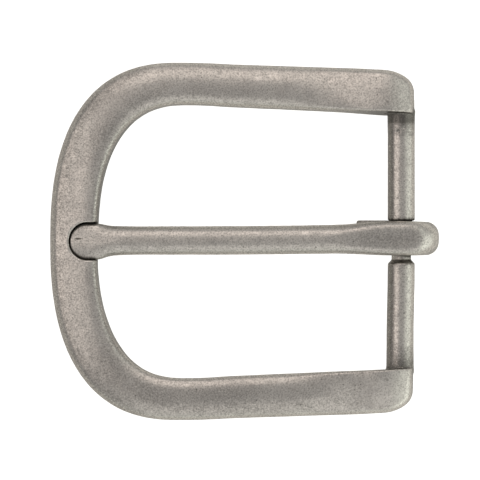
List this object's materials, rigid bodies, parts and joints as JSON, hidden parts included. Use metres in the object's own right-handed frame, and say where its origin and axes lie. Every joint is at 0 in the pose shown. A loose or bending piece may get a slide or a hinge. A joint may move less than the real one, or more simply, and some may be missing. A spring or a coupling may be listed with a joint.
{
  "type": "belt buckle",
  "caption": "Single-prong belt buckle: a D-shaped frame cast with its heel bar, and a hinged prong whose tip rests in a pocket of the front rail.",
  "frame": {"origin": "the middle of the heel bar, on its axis, which is also the prong's hinge axis", "axes": "+X out of the heel end, away from the front rail; +Y along the heel bar, across the belt; +Z out of the buckle's face"},
  "size_m": [0.0624, 0.0572, 0.0079],
  "materials": {
    "frame_metal": "tumbled antique nickel-silver plate over a zinc casting, satin, fine mottle and pits, darker in the corners",
    "prong_metal": "the same plate, worn a little brighter along the edges"
  },
  "bodies": {
    "frame_body": {"frame": "frame_metal"},
    "prong_body": {"prong": "prong_metal"}
  },
  "joints": [
    {"name": "prong_swing", "type": "hinge", "parent": "frame_body", "child": "prong_body", "pos_m": [0, 0, 0], "axis": [0, 1, 0], "range_deg": [0, 354]}
  ]
}
